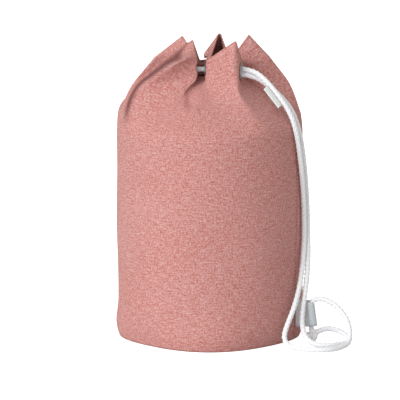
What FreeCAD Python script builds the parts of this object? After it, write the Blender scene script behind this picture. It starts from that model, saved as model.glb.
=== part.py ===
"""Round-based drawstring sack, as a FreeCAD document of separate pieces.

A tube of cloth stands on a round base.  Its mouth is gathered into four folds by one cord, which weaves
in and out through seven metal eyelets and leaves by one of them with both ends.  The two strands hang
down the side as a shoulder strap, lie on the floor, and one of them goes back up and down through a tape
tab in the side seam, under which the ends are knotted together.

Millimetres.  +Z is up, +X is right, the front faces -Y, and the origin is the centre of the base's underside.
"""
import FreeCAD, Part
import math
import os

import Sketcher

from FreeCAD import Placement, Rotation, Vector

DOC = FreeCAD.newDocument("Sack")

# Driving dimensions --------------------------------------------------------------------------------

SIZES = [
    ("sack_radius", 125.0, "outside radius of the filled tube"),
    ("base_radius", 119.0, "outside radius at the floor, where the base seam pulls in"),
    ("base_rise", 14.0, "height over which the wall swells out to the full radius"),
    ("gather_height", 262.0, "where the wall starts to draw in towards the mouth"),
    ("ring_height", 365.0, "height of the cord through the eyelets"),
    ("mouth_height", 412.0, "height of the hem at the tips of the folds"),
    ("cloth", 1.2, "thickness of the cloth"),
    ("base_board", 1.6, "thickness of the round base panel"),
    ("binding_width", 18.0, "width of the tape that binds the base seam inside"),
    ("binding_thick", 0.9, "thickness of both binding tapes"),
    ("seam_tape_width", 16.0, "width of the tape over the side seam inside"),
    ("seam_tape_gap", 0.05, "gap between the side seam's tape and the wall"),
    ("tape_spacing", 2.0, "gap from the side seam's tape to the base binding and to the gathers"),
    ("seam_angle", -23.7, "direction of the side seam, degrees from +X"),
    ("eyelet_bore", 15.0, "bore of an eyelet: two cords pass side by side"),
    ("eyelet_rim", 24.5, "outside diameter of an eyelet's flange"),
    ("flange_thick", 1.0, "thickness of an eyelet's flange"),
    ("barrel_wall", 0.7, "wall of an eyelet's barrel"),
    ("washer_thick", 0.8, "thickness of the washer behind the cloth"),
    ("lip_reach", 1.1, "how far the barrel's end is rolled out over the washer"),
    ("lip_thick", 0.6, "thickness of the rolled lip"),
    ("seat_gap", 0.03, "gap between a flange or washer and the cloth"),
    ("punch_clearance", 0.15, "gap between an eyelet's barrel and the hole in the cloth"),
    ("cord_diameter", 7.0, "diameter of the braided cord"),
    ("tab_height", 34.0, "width of the tab's tape, which stands upright"),
    ("tab_base", 21.0, "height of the tab's lower edge"),
    ("tab_reach", 27.0, "from the side seam to the tab's fold"),
    ("tab_tape", 1.1, "thickness of the tab's tape"),
    ("tab_channel", 12.0, "width inside the tab, where the cord passes"),
    ("tab_heading", -6.0, "direction in which the tab stands out, degrees from +X"),
    ("tab_gap", 0.9, "gap between the tab's root and the cloth"),
    ("label_length", 34.0, "length of the flag label along the cord"),
    ("label_reach", 12.5, "from the cord's centre to the flag's edge"),
    ("label_ply", 0.45, "thickness of one layer of the label"),
    ("label_gap", 0.7, "gap between the label and the cord"),
    ("knot_width", 16.4, "width of the end knot"),
    ("knot_height", 17.6, "height of the end knot"),
    ("knot_lift", 0.6, "gap between the end knot and the floor"),
]

SHEET = DOC.addObject("Spreadsheet::Sheet", "Sizes")
for row, (alias, value, note) in enumerate(SIZES, start=1):
    SHEET.set("A%d" % row, alias)
    SHEET.set("B%d" % row, str(value))
    SHEET.set("C%d" % row, note)
    SHEET.setAlias("B%d" % row, alias)
DOC.recompute()


def size(alias):
    """A driving dimension from the sheet."""
    return float(getattr(SHEET, alias))


PIECES = []


def keep(piece, label):
    """Name a finished piece and remember it for the export."""
    piece.Label = label
    PIECES.append(piece)
    return piece


def solid_piece(name, shape, placement=None):
    """A document object that holds a shape made by code."""
    piece = DOC.addObject("Part::Feature", name)
    piece.Shape = shape
    if placement is not None:
        piece.Placement = placement
    return keep(piece, name)


def compass(degrees, reach=1.0, height=0.0):
    """A point at a direction from +X, a distance from the Z axis and a height."""
    turn = math.radians(degrees)
    return Vector(reach * math.cos(turn), reach * math.sin(turn), height)


# The cloth's outline -------------------------------------------------------------------------------

# Each corner of the gathered mouth: its direction on the round tube, its place just below the eyelets, the
# corner towards which it slides above them and by what share of the way, and its place at the hem.  They
# run anticlockwise from the foot of the front fold.  A corner slides along its eyelet's wall, so that the
# wall stays upright and flat from below the eyelet's rim to above it.
CORNERS = [
    ("front_right_foot", -27.0, (45.0, -30.0), None, 0.0, (42.0, -26.0)),
    ("right_front_foot", -22.0, (50.0, -24.0), None, 0.0, (44.0, -20.0)),
    ("right_ridge_front", -8.0, (93.0, -7.0), "right_front_foot", 0.24, (53.0, -3.0)),
    ("right_ridge_back", -4.0, (93.0, 0.5), "right_back_foot", 0.24, (53.0, 2.0)),
    ("right_back_foot", 30.0, (48.0, 16.5), None, 0.0, (42.0, 14.0)),
    ("back_right_foot", 58.0, (28.0, 24.0), None, 0.0, (26.0, 21.0)),
    ("back_ridge_right", 92.0, (13.6, 86.0), "back_right_foot", 0.18, (14.0, 48.0)),
    ("back_ridge_left", 97.0, (7.0, 86.0), "back_left_foot", 0.18, (9.0, 48.0)),
    ("back_left_foot", 134.0, (-6.0, 26.0), None, 0.0, (-5.0, 22.0)),
    ("left_back_foot", 160.0, (-24.0, 14.0), None, 0.0, (-20.0, 12.0)),
    ("left_ridge_back", 195.0, (-92.0, -11.6), "left_back_foot", 0.18, (-46.0, -6.0)),
    ("left_ridge_front", 199.0, (-92.0, -18.0), "left_front_corner", 0.18, (-46.0, -11.0)),
    ("left_front_corner", 216.0, (-20.0, -48.0), None, 0.0, (-20.0, -36.0)),
    ("left_front_foot", 238.0, (-20.0, -20.0), None, 0.0, (-20.0, -16.0)),
    ("front_left_foot", 256.0, (-6.0, -20.0), None, 0.0, (-6.0, -16.0)),
    ("front_left_corner", 282.0, (-6.0, -48.0), None, 0.0, (-4.0, -38.0)),
    ("front_ridge_left", 302.0, (34.5, -76.0), "front_left_corner", 0.12, (37.0, -50.0)),
    ("front_ridge_right", 306.0, (37.6, -75.6), "front_right_foot", 0.18, (40.5, -49.0)),
]
NAMES = [corner[0] for corner in CORNERS]
AROUND = [corner[1] for corner in CORNERS]

# Between the tube and the eyelets the cloth draws in: a share of the way from the tube to the gathered
# outline, at a share of the height between them.
SHOULDER = [(0.37, 0.035), (0.62, 0.16), (0.82, 0.42)]

RIM_MARGIN = 2.0
RING_LOW = size("ring_height") - size("eyelet_rim") / 2 - RIM_MARGIN
RING_HIGH = size("ring_height") + size("eyelet_rim") / 2 + RIM_MARGIN


def tube_corners(radius):
    """The outline's corners on a round section."""
    return [compass(direction, radius) for direction in AROUND]


def corners_below():
    """The gathered outline just below the eyelets."""
    return [Vector(corner[2][0], corner[2][1], 0) for corner in CORNERS]


def corners_above():
    """The gathered outline just above the eyelets, where the ridges have come in along their walls."""
    below = corners_below()
    above = []
    for here, corner in zip(below, CORNERS):
        towards, share = corner[3], corner[4]
        goal = below[NAMES.index(towards)] if towards else here
        above.append(here + (goal - here) * share)
    return above


def corners_at_hem():
    """The gathered outline at the hem."""
    return [Vector(corner[5][0], corner[5][1], 0) for corner in CORNERS]


def inset_corners(corners, inset):
    """Move a straight-sided outline in by the cloth's thickness, square to its sides."""
    moved = []
    for index, here in enumerate(corners):
        before = corners[index - 1]
        after = corners[(index + 1) % len(corners)]
        side_in = (here - before).normalize()
        side_out = (after - here).normalize()
        normal_in = Vector(-side_in.y, side_in.x, 0)
        normal_out = Vector(-side_out.y, side_out.x, 0)
        across = (normal_in + normal_out).normalize()
        moved.append(here + across * (inset / max(across.dot(normal_in), 0.35)))
    return moved


def section(corners, height, bulge_radius=None):
    """A closed wire through the corners: arcs of a circle on the tube, straight sides elsewhere."""
    edges = []
    for index, start in enumerate(corners):
        stop = corners[(index + 1) % len(corners)]
        lift = Vector(0, 0, height)
        if bulge_radius is None:
            edges.append(Part.LineSegment(start + lift, stop + lift).toShape())
        else:
            middle = (start + stop).normalize() * bulge_radius
            edges.append(Part.Arc(start + lift, middle + lift, stop + lift).toShape())
    return Part.Wire(edges)


def cloth_sections(inset):
    """The sections of the sack's outside (inset 0), or of its inside, from the floor to the hem."""
    base = size("base_radius") - inset
    tube = size("sack_radius") - inset
    below = inset_corners(corners_below(), inset)
    above = inset_corners(corners_above(), inset)
    hem = inset_corners(corners_at_hem(), inset)
    overrun = 5.0 if inset else 0.0
    sections = []
    if inset:
        sections.append(section(tube_corners(base), -overrun, base))
    sections.append(section(tube_corners(base), 0, base))
    sections.append(section(tube_corners(tube), size("base_rise"), tube))
    sections.append(section(tube_corners(tube), size("gather_height"), tube))
    span = RING_LOW - size("gather_height")
    for up, drawn_in in SHOULDER:
        corners = [out * (1 - drawn_in) + into * drawn_in
                   for out, into in zip(tube_corners(tube), below)]
        sections.append(section(corners, size("gather_height") + up * span - inset))
    sections.append(section(below, RING_LOW - inset))
    sections.append(section(above, RING_HIGH))
    sections.append(section(hem, size("mouth_height")))
    if inset:
        sections.append(section(hem, size("mouth_height") + overrun))
    return sections


# Sketch helpers ------------------------------------------------------------------------------------

def origin_plane(body, role):
    """One of a body's own origin planes."""
    for feature in body.Origin.OriginFeatures:
        if feature.Role == role:
            return feature
    raise RuntimeError("no plane " + role)


def sketch_on(body, role, name):
    """A new sketch on one of a body's origin planes."""
    sketch = body.newObject("Sketcher::SketchObject", name)
    sketch.AttachmentSupport = [(origin_plane(body, role), "")]
    sketch.MapMode = "FlatFace"
    return sketch


# Where a profile is first drawn, before its sizes pull it into place.
ROUGH_SIZE = 10.0
ROUGH_PLACE = Vector(20, 0, 0)


def polygon(sketch, points):
    """A closed polygon whose corners are held by expressions on the sheet: (x, y) pairs of text."""
    count = len(points)
    rough = [compass(360.0 * index / count, ROUGH_SIZE) + ROUGH_PLACE for index in range(count)]
    for index in range(count):
        sketch.addGeometry(Part.LineSegment(rough[index], rough[(index + 1) % count]), False)
    for index in range(count):
        sketch.addConstraint(Sketcher.Constraint("Coincident", index, 2, (index + 1) % count, 1))
    for index, (across, up) in enumerate(points):
        for kind, text, start in (("DistanceX", across, rough[index].x), ("DistanceY", up, rough[index].y)):
            number = sketch.addConstraint(Sketcher.Constraint(kind, -1, 1, index, 1, start))
            sketch.setExpression("Constraints[%d]" % number, text)


def turned(body, sketch, name):
    """A full turn of a sketch about its own vertical axis."""
    turn = body.newObject("PartDesign::Revolution", name)
    turn.Profile = sketch
    turn.ReferenceAxis = (sketch, ["V_Axis"])
    turn.Angle = 360.0
    return turn


def padded(body, sketch, name, length):
    """A pad of a sketch, as long as an expression says."""
    pad = body.newObject("PartDesign::Pad", name)
    pad.Profile = sketch
    pad.setExpression("Length", length)
    return pad


def primitive(kind, name, sizes):
    """A Part primitive whose sizes are bound to the sheet."""
    shape = DOC.addObject(kind, name)
    for field, text in sizes.items():
        shape.setExpression(field, text)
    return shape


def tube_ring(name, outer, inner, height, base, angle=None):
    """A ring, or a stretch of one, from two cylinders: the radii, the height and the base as text."""
    outside = primitive("Part::Cylinder", name + "_outside", {"Radius": outer, "Height": height})
    inside = primitive("Part::Cylinder", name + "_inside", {"Radius": inner, "Height": height})
    for cylinder in (outside, inside):
        cylinder.setExpression("Placement.Base.z", base)
        if angle is not None:
            cylinder.setExpression("Angle", angle)
    ring = DOC.addObject("Part::Cut", name)
    ring.Base = outside
    ring.Tool = inside
    return keep(ring, name)


# Cloth parts ---------------------------------------------------------------------------------------

# Each eyelet's wall, in the outline's order, and how far along it the eyelet is.  They are numbered the
# way the cord runs, from the one by which both strands leave.
EYELET_SEATS = [
    ("front_ridge_right", "front_right_foot", 25.0),
    ("front_left_foot", "front_left_corner", 14.0),
    ("left_front_corner", "left_front_foot", 14.6),
    ("left_back_foot", "left_ridge_back", 24.0),
    ("back_ridge_left", "back_left_foot", 39.0),
    ("back_right_foot", "back_ridge_right", 22.0),
    ("right_ridge_back", "right_back_foot", 28.5),
]


def eyelet_seat(index):
    """The centre of an eyelet on the cloth's outer face, and the direction in which it faces."""
    start_name, stop_name, along = EYELET_SEATS[index]
    corners = corners_below()
    start = corners[NAMES.index(start_name)]
    stop = corners[NAMES.index(stop_name)]
    wall = (stop - start).normalize()
    return start + wall * along + Vector(0, 0, size("ring_height")), Vector(wall.y, -wall.x, 0)


CUT_DEPTH = 5.0


def body_panel():
    """The wall of the sack: one cloth, punched for the eyelets."""
    outside = Part.makeLoft(cloth_sections(0.0), True, True)
    inside = Part.makeLoft(cloth_sections(size("cloth")), True, True)
    wall = outside.cut(inside)
    hole = size("eyelet_bore") / 2 + size("barrel_wall") + size("punch_clearance")
    for index in range(len(EYELET_SEATS)):
        centre, facing = eyelet_seat(index)
        wall = wall.cut(Part.makeCylinder(hole, 2 * CUT_DEPTH, centre - facing * CUT_DEPTH, facing))
    return solid_piece("body_panel", wall.Solids[0] if len(wall.Solids) == 1 else wall)


def base_panel():
    """The round board under the sack."""
    body = DOC.addObject("PartDesign::Body", "base_panel")
    sketch = sketch_on(body, "XY_Plane", "base_outline")
    rough = size("base_radius")
    sketch.addGeometry(Part.Circle(Vector(0, 0, 0), Vector(0, 0, 1), rough), False)
    sketch.addConstraint(Sketcher.Constraint("Coincident", 0, 3, -1, 1))
    number = sketch.addConstraint(Sketcher.Constraint("Radius", 0, rough))
    sketch.setExpression("Constraints[%d]" % number, "Sizes.base_radius - Sizes.cloth")
    padded(body, sketch, "base_pad", "Sizes.base_board")
    return keep(body, "base_panel")


def bindings():
    """The tape round the base seam and the tape up the side seam, both inside."""
    base_outer = "Sizes.base_radius - Sizes.cloth - Sizes.punch_clearance"
    tube_ring("base_binding", base_outer, base_outer + " - Sizes.binding_thick", "Sizes.binding_width",
              "Sizes.base_board")
    wall_inner = "Sizes.sack_radius - Sizes.cloth - Sizes.seam_tape_gap"
    strip = tube_ring("side_seam_tape", wall_inner, wall_inner + " - Sizes.binding_thick",
                      "Sizes.gather_height - Sizes.base_board - Sizes.binding_width - 2 * Sizes.tape_spacing",
                      "Sizes.base_board + Sizes.binding_width + Sizes.tape_spacing",
                      "Sizes.seam_tape_width / Sizes.sack_radius * 180 / pi")
    strip.setExpression("Placement.Rotation.Angle",
                        "Sizes.seam_angle - Sizes.seam_tape_width / Sizes.sack_radius * 90 / pi")
    strip.setExpression("Placement.Rotation.Axis.z", "1")


# Eyelets -------------------------------------------------------------------------------------------

BORE = "Sizes.eyelet_bore / 2"
BARREL = "Sizes.eyelet_bore / 2 + Sizes.barrel_wall"
RIM = "Sizes.eyelet_rim / 2"
BACK = "-(Sizes.cloth + Sizes.seat_gap)"
GRIP = BACK + " - Sizes.washer_thick"


def eyelet(index, placement):
    """A flanged barrel whose far end is rolled out over the washer."""
    body = DOC.addObject("PartDesign::Body", "eyelet_%d" % index)
    sketch = sketch_on(body, "XZ_Plane", "eyelet_%d_profile" % index)
    lip = BARREL + " + Sizes.lip_reach"
    lip_end = GRIP + " - Sizes.lip_thick"
    polygon(sketch, [
        (BORE, "Sizes.flange_thick"),
        (BORE, lip_end),
        (lip, lip_end),
        (lip, GRIP),
        (BARREL, GRIP),
        (BARREL, "Sizes.seat_gap"),
        (RIM, "Sizes.seat_gap"),
        (RIM, "Sizes.flange_thick * 0.45"),
        (RIM + " - Sizes.flange_thick", "Sizes.flange_thick"),
    ])
    turned(body, sketch, "eyelet_%d_turn" % index)
    body.Placement = placement
    return keep(body, "eyelet_%d" % index)


def washer(index, placement):
    """The ring behind the cloth that the barrel is rolled over."""
    body = DOC.addObject("PartDesign::Body", "eyelet_washer_%d" % index)
    sketch = sketch_on(body, "XZ_Plane", "eyelet_washer_%d_profile" % index)
    polygon(sketch, [
        (BARREL, BACK),
        (BARREL, GRIP),
        (RIM, GRIP),
        (RIM, BACK),
    ])
    turned(body, sketch, "eyelet_washer_%d_turn" % index)
    body.Placement = placement
    return keep(body, "eyelet_washer_%d" % index)


def eyelets():
    """Every eyelet and its washer, seated on the cloth."""
    for index in range(len(EYELET_SEATS)):
        centre, facing = eyelet_seat(index)
        placement = Placement(centre, Rotation(Vector(0, 0, 1), facing))
        eyelet(index + 1, placement)
        washer(index + 1, placement)


# The cord ------------------------------------------------------------------------------------------

# One cord, from the knot under the tab: the loop on the floor, the rear strand, round the mouth through
# the eyelets, the front strand, the arch, down through the tab and into the knot again.
CORD_ROUTE = [
    # from the knot, low over the floor and round the loop
    (138, -55, 10), (151, -48, 17), (168, -44, 15.5), (182, -49.5, 9.5), (188.5, -64, 4.6), (181, -80, 3.6),
    (162, -93, 3.6), (142, -95, 3.8), (128.5, -83, 9.5),
    # the rear strand, up to the mouth
    (122.5, -72, 27), (124.5, -65, 50), (129, -55, 78), (132.3, -38, 108), (132, -25, 150), (129.5, -31, 205),
    (125, -45.5, 250), (119, -54.5, 287), (107, -57, 320), (72, -49, 352.5), (50, -51.8, 361.3),
    # in by the first eyelet, across the right fold and out at its back
    (29, -49.5, 361.4), (12, -38.5, 361.8), (3, -19, 362.5), (10, 2, 363.5), (31, 9, 364), (52, 0, 364.5),
    (70, 14, 365),
    # round the back: in and out of the back fold, then of the left fold
    (71, 36, 365), (52, 50, 365), (22.8, 46, 365), (-1.5, 46, 365), (-26, 52, 365), (-47, 40, 365),
    (-51.5, 18, 365), (-43, -5, 365.5), (-36, -26, 366), (-17, -35, 366), (-3, -32.5, 366), (18, -43, 368.5),
    # out by the first eyelet again, and down the front strand
    (49, -52, 368.8), (71, -57.5, 359.5), (106, -67, 315), (115, -63, 286), (120.5, -54, 250),
    (125, -39.5, 205), (127.5, -32, 150), (125.5, -41, 108), (120.2, -62, 76), (112, -77, 50),
    (103.5, -87, 31), (98, -94, 15.5), (103, -105, 5.5),
    # along the floor, up the arch and down through the tab
    (118, -114, 3.6), (138, -123, 3.6), (159, -121, 3.6), (175, -106, 3.6), (186, -90, 6.5), (187.5, -76, 20),
    (182, -66, 37), (168, -59.5, 52), (151, -55.5, 60), (136.6, -53.2, 57), (133.2, -52.4, 42.5),
    (134.4, -52.9, 26), (138, -55, 12),
]

ARC_SHARE = 0.45


def arc_radius(before, here, after):
    """The largest arc that the two runs at a point allow, and the turn there in degrees."""
    run_in = here - before
    run_out = after - here
    turn = run_in.getAngle(run_out)
    shorter = min(run_in.Length, run_out.Length)
    return ARC_SHARE * shorter / math.tan(turn / 2), math.degrees(turn), shorter


def cord_path(route):
    """Straight runs joined by tangent arcs, as one wire."""
    points = [Vector(*point) for point in route]
    edges = []
    start = points[0]
    for before, here, after in zip(points, points[1:], points[2:]):
        radius, turn, shorter = arc_radius(before, here, after)
        trim = ARC_SHARE * shorter
        towards = (here - before).normalize()
        away = (after - here).normalize()
        first = here - towards * trim
        last = here + away * trim
        inward = (away - towards).normalize()
        half = math.radians(turn) / 2
        middle = here + inward * (radius / math.cos(half) - radius)
        edges.append(Part.LineSegment(start, first).toShape())
        edges.append(Part.Arc(first, middle, last).toShape())
        start = last
    edges.append(Part.LineSegment(start, points[-1]).toShape())
    return Part.Wire(edges)


def draw_cord():
    """The cord's own solid: a round tube swept along its path."""
    path = cord_path(CORD_ROUTE)
    start = Vector(*CORD_ROUTE[0])
    heading = (Vector(*CORD_ROUTE[1]) - start).normalize()
    ring = Part.Wire(Part.Circle(start, heading, size("cord_diameter") / 2).toShape())
    tube = path.makePipeShell([ring], True, True)
    expected = math.pi * (size("cord_diameter") / 2) ** 2 * path.Length
    print("cord: length %.1f mm, volume %.4f of section times length" % (path.Length, tube.Volume / expected))
    if abs(tube.Volume / expected - 1) > 0.01:
        raise RuntimeError("the cord's tube lost its section")
    return solid_piece("draw_cord", tube)


def print_radii():
    """List every run and turn of the cord, so that a tight one shows."""
    points = [Vector(*point) for point in CORD_ROUTE]
    for index in range(1, len(points) - 1):
        radius, turn, shorter = arc_radius(points[index - 1], points[index], points[index + 1])
        print("cord point %2d: run %5.1f mm, turn %5.1f deg, radius %6.1f mm"
              % (index, (points[index] - points[index - 1]).Length, turn, radius))


def end_knot():
    """The knot that ties both ends of the cord under the tab."""
    knot = primitive("Part::Ellipsoid", "end_knot", {
        "Radius1": "Sizes.knot_height / 2", "Radius2": "Sizes.knot_width / 2",
        "Radius3": "Sizes.knot_width / 2"})
    across, forward = CORD_ROUTE[0][:2]
    knot.Placement = Placement(Vector(across, forward, 0), Rotation())
    knot.setExpression("Placement.Base.z", "Sizes.knot_lift + Sizes.knot_height / 2")
    return keep(knot, "end_knot")


# Tab and label -------------------------------------------------------------------------------------

# The two plies of the tab part from this gap at its root.
PLY_GAP = 0.04


def tab():
    """A folded tape that stands out of the side seam: two plies from the seam to a round channel."""
    body = DOC.addObject("PartDesign::Body", "tab")
    heading = size("tab_heading")
    root = compass(size("seam_angle"), size("sack_radius") + size("tab_gap"), size("tab_base"))
    sketch = sketch_on(body, "XY_Plane", "tab_outline")
    outer = size("tab_channel") / 2 + size("tab_tape")
    inner = size("tab_channel") / 2
    reach = size("tab_reach") - outer
    loop(sketch, reach, outer, size("tab_tape"), 0)
    loop(sketch, reach, inner, PLY_GAP / 2, 2 * size("tab_tape"))
    padded(body, sketch, "tab_pad", "Sizes.tab_height")
    body.Placement = Placement(root, Rotation(Vector(0, 0, 1), heading))
    return keep(body, "tab")


def loop(sketch, reach, radius, half_root, root):
    """A teardrop: a round end about (reach, 0) and two tangent sides that meet near the root."""
    lean = math.asin((radius - half_root) / (reach - root))
    touch = Vector(reach - radius * math.sin(lean), radius * math.cos(lean), 0)
    corner = Vector(root, half_root, 0)
    mirror_touch = Vector(touch.x, -touch.y, 0)
    mirror_corner = Vector(corner.x, -corner.y, 0)
    sketch.addGeometry(Part.LineSegment(corner, touch), False)
    sketch.addGeometry(Part.Arc(touch, Vector(reach + radius, 0, 0), mirror_touch), False)
    sketch.addGeometry(Part.LineSegment(mirror_touch, mirror_corner), False)
    sketch.addGeometry(Part.LineSegment(mirror_corner, corner), False)


# The run of the cord that the label is folded round, and the way in which its flag lies: to the front and
# a little down and left, once squared to the run.
LABEL_RUN = 40
FLAG_WAY = Vector(-0.5, -0.85, -0.2)


def label():
    """A flag label folded round the front strand, square to the strand's straight run."""
    start = Vector(*CORD_ROUTE[LABEL_RUN])
    stop = Vector(*CORD_ROUTE[LABEL_RUN + 1])
    along = (stop - start).normalize()
    ply = size("label_ply")
    inner = size("cord_diameter") / 2 + size("label_gap")
    outer = inner + ply
    side = math.sqrt(outer ** 2 - ply ** 2)
    upper = Vector(side, ply, 0)
    lower = Vector(side, -ply, 0)
    upper_end = Vector(size("label_reach"), ply, 0)
    lower_end = Vector(size("label_reach"), -ply, 0)
    body = DOC.addObject("PartDesign::Body", "label")
    sketch = sketch_on(body, "XY_Plane", "label_outline")
    sketch.addGeometry(Part.Arc(upper, Vector(-outer, 0, 0), lower), False)
    sketch.addGeometry(Part.LineSegment(lower, lower_end), False)
    sketch.addGeometry(Part.LineSegment(lower_end, upper_end), False)
    sketch.addGeometry(Part.LineSegment(upper_end, upper), False)
    sketch.addGeometry(Part.Circle(Vector(0, 0, 0), Vector(0, 0, 1), inner), False)
    padded(body, sketch, "label_pad", "Sizes.label_length")
    flag = (FLAG_WAY - along * FLAG_WAY.dot(along)).normalize()
    wide = along.cross(flag)
    place = Placement(FreeCAD.Matrix(flag.x, wide.x, along.x, 0, flag.y, wide.y, along.y, 0,
                                     flag.z, wide.z, along.z, 0, 0, 0, 0, 1))
    place.Base = (start + stop) * 0.5 - along * (size("label_length") / 2)
    body.Placement = place
    return keep(body, "label")


# The whole document --------------------------------------------------------------------------------

def check_document():
    """Stop if any object failed, or any piece has no sound shape."""
    for item in DOC.Objects:
        if "Invalid" in item.State or "Error" in item.State:
            raise RuntimeError("%s did not recompute: %s" % (item.Label, item.State))
    for piece in PIECES:
        if piece.Shape.isNull() or not piece.Shape.isValid():
            raise RuntimeError("%s has no sound shape" % piece.Label)


body_panel()
base_panel()
bindings()
eyelets()
print_radii()
draw_cord()
end_knot()
tab()
label()
DOC.recompute()
check_document()

os.makedirs("parts", exist_ok=True)
for piece in PIECES:
    piece.Shape.exportStep(os.path.join("parts", piece.Label + ".step"))
    print("%-18s %d solids, %10.1f mm3" % (piece.Label, len(piece.Shape.Solids), piece.Shape.Volume))
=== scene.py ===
"""Looks of a round-based drawstring sack: chambray cloth, braided cord, eyelets, tape tab and flag label."""
import math

import bmesh
import bpy
import numpy as np
from mathutils import Matrix, Vector


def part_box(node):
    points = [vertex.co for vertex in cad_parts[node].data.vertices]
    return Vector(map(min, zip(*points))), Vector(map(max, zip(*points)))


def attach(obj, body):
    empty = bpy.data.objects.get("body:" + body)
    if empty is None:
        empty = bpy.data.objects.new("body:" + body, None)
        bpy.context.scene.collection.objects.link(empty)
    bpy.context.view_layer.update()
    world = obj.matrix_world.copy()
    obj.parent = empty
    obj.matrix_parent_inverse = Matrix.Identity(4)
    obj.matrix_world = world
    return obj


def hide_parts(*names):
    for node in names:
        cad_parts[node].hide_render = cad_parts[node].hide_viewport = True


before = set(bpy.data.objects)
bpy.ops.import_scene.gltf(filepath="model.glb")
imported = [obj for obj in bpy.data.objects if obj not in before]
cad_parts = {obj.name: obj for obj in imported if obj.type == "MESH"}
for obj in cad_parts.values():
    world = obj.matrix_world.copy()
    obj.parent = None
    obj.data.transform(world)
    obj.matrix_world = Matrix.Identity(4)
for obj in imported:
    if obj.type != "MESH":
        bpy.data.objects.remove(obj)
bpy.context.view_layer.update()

bl_info = {
    "name": "Drawstring sack",
    "version": (1, 0, 0),
    "blender": (4, 5, 0),
    "location": "View3D > Sidebar > Sack",
    "description": "Builds the cloth, cord and trims of a round-based drawstring sack round its packed frame",
    "category": "Object",
}

MM = 0.001

# The cloth's folds, going round from the front right: name, direction on the tube in degrees, the height at
# which it turns in, how far it leans in as it reaches the eyelets (0 is upright), and the fold's places from
# just below the eyelets up to the hem.  Millimetres.
FOLDS = [
    ("front_right_foot", -27, 290, 1.0, [(45, -30, 352), (45, -30, 372), (42, -27, 378)]),
    ("right_front_foot", -22, 288, 1.0, [(50, -24, 352), (50, -24, 372), (31, -17, 382)]),
    ("right_ridge_front", -8, 275, 0.0, [(102, -3.7, 351), (80.5, -11.1, 379), (51.5, -4, 408.5)]),
    ("right_ridge_back", -4, 275, 0.0, [(102, -2.5, 351), (80, 4.3, 379), (53, 0, 408.5)]),
    ("right_back_foot", 30, 315, 1.5, [(48, 16.5, 352), (48, 16.5, 372), (40, 14, 378)]),
    ("back_right_foot", 58, 315, 1.5, [(28, 24, 352), (28, 24, 372), (26, 21, 375)]),
    ("back_ridge_right", 92, 285, 0.0, [(13.6, 86, 351), (16.2, 74.8, 379), (15.5, 48, 404)]),
    ("back_ridge_left", 97, 285, 0.0, [(7, 86, 351), (5.5, 79, 364), (-9, 65, 374), (11.5, 48, 404)]),
    ("back_left_foot", 134, 315, 1.5, [(-6, 26, 352), (-6, 26, 368), (1, 23, 373)]),
    ("left_back_foot", 160, 315, 1.5, [(-24, 14, 352), (-24, 14, 368), (-20, 12, 371)]),
    ("left_ridge_back", 190, 283, 0.0, [(-97.6, -13.7, 351), (-74.5, -7, 379), (-37, -8, 408)]),
    ("left_ridge_front", 194, 283, 0.0, [(-98, -16, 351), (-74, -18, 379), (-36, -12, 408)]),
    ("left_valley", 202, 288, 0.5, [(-85, -16, 354), (-60, -15, 375), (-42, -24, 390), (-30, -24, 400)]),
    ("left_beak", 210, 283, 0.0,
     [(-85, -57, 351), (-50, -68, 376), (-33, -66, 382.5), (-35, -44, 387), (-26.5, -30, 402.5)]),
    ("left_front_corner", 226, 278, 0.5,
     [(-18, -54, 353), (-13, -50, 366), (-16, -45, 383), (-22.5, -34, 406)]),
    ("left_front_foot", 242, 280, 0.9, [(-19, -38, 353), (-20, -21, 370), (-12, -17, 373)]),
    ("front_left_foot", 256, 280, 0.9, [(-8, -38, 353), (-6, -21, 370), (-6, -17, 374)]),
    ("front_left_corner", 282, 280, 0.5, [(-6, -53, 352), (-6, -48, 368), (-1.5, -42, 381)]),
    ("front_ridge_left", 302, 288, 0.0, [(34.5, -76, 351), (29.6, -72.6, 379), (33, -56, 406.5)]),
    ("front_ridge_right", 306, 288, 0.0, [(37.6, -75.6, 351), (38.9, -67.4, 379), (35, -55, 406)]),
]

# The eyelets' outward directions in plan, in the order of their numbers.
FACINGS = [
    (0.987, -0.160), (-1, 0), (1, 0), (-0.352, 0.936), (-0.977, 0.212), (0.974, 0.226), (0.335, 0.942),
]

# Slow lumps of the filled wall: waves round it, how fast they climb, where they start, and their share.
LUMPS = [(3, 9, 0.7, 0.4), (5, -21, 2.1, 0.3), (9, 33, 0, 0.15), (2, 40, 1.3, 0.25)]

# The heights of the rows of cloth nearest the floor, where it curls under.  The foot is pulled to four soft
# corners up to one height, and drawn in at the seam up to another.
FOOT_ROWS = (0, 0.002, 0.005, 0.009)
FOOT_CORNER = 0.004
FOOT_CORNER_HEIGHT = 0.05
FOOT_DRAW = 0.001
FOOT_DRAW_HEIGHT = 0.03

# An eyelet's seat: how far from its centre the cloth lies flat, how softly that ends, how near a point has to
# be, how far under the flange the cloth lies, and the radius and half the depth of the hole.
SEAT_REACH = 0.0185
SEAT_SOFTNESS = 0.005
SEAT_DEPTH = 0.007
SEAT_GAP = 0.0002
HOLE_RADIUS = 0.0088
HOLE_DEPTH = 0.005

# Stitching: the side seam's direction in degrees, the hem's two stitch lines in rows from the edge, and how
# much of each stitch's length is thread that shows.
SEAM_ANGLE = -23.7
HEM_ROWS = (9, 2)
STITCH_SHOWS = 0.7
STITCH_LIFT = 0.0001

# The tab: its direction in degrees, the gap to the cloth, the reach of its channel at the foot and how much
# less that is at the top, the channel's middle radius, half the gap of the plies at the root, and its lower
# and upper edges at the root with their rise and drop towards the fold.
TAB_HEADING = -6
TAB_GAP = 0.0009
TAB_REACH = 0.0221
TAB_TAPER = 0.0042
TAB_BEND = 0.0066
TAB_ROOT = 0.0006
TAB_LOW = 0.0205
TAB_LOW_RISE = 0.0015
TAB_HIGH = 0.059
TAB_HIGH_DROP = 0.004

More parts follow.
